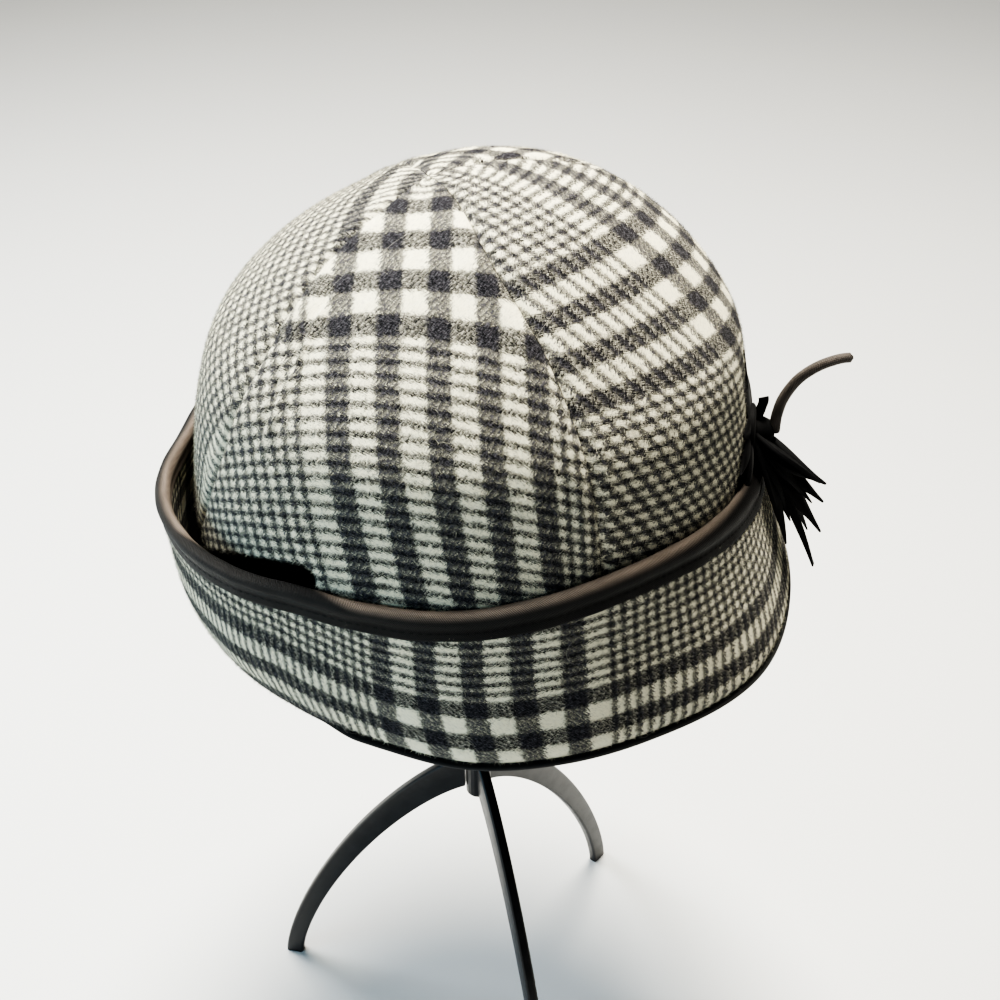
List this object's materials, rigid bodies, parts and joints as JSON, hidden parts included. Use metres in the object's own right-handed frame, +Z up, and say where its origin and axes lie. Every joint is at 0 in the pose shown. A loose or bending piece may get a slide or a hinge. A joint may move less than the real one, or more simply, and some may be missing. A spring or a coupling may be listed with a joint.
{
  "type": "earflap cap on a tripod stand",
  "caption": "Rounded wool plaid cap with a turned-up, taped earflap band and a side flower, resting on a plain arched tripod stand.",
  "frame": {"origin": "middle of the footprint on the floor, at the height of the three soles", "axes": "+Z up; -Y is the side that the picture looks at, and the flower is at +X"},
  "size_m": [0.2176, 0.2068, 0.4074],
  "materials": {
    "crown_wool": "brushed wool glen plaid, ivory and charcoal",
    "flap_wool": "brushed wool glen plaid, ivory and charcoal",
    "flap_tape": "grey-brown twill bias tape",
    "rim_tape": "dark grey bound edge",
    "flower_petals": "matt black felt",
    "flower_stem": "rolled grey-brown cloth",
    "stand_plastic": "satin black"
  },
  "bodies": {
    "root": {"crown_gore_front": "crown_wool", "crown_gore_right": "crown_wool", "crown_gore_back": "crown_wool", "crown_gore_left": "crown_wool", "flap_band": "flap_wool", "flap_binding": "flap_tape", "rim_binding": "rim_tape", "flower": "flower_petals", "flower_stem": "flower_stem", "stand_post": "stand_plastic", "stand_leg_right": "stand_plastic", "stand_leg_left": "stand_plastic", "stand_leg_front": "stand_plastic", "stand_rib_right": "stand_plastic", "stand_rib_left": "stand_plastic", "stand_rib_front": "stand_plastic"}
  },
  "joints": []
}
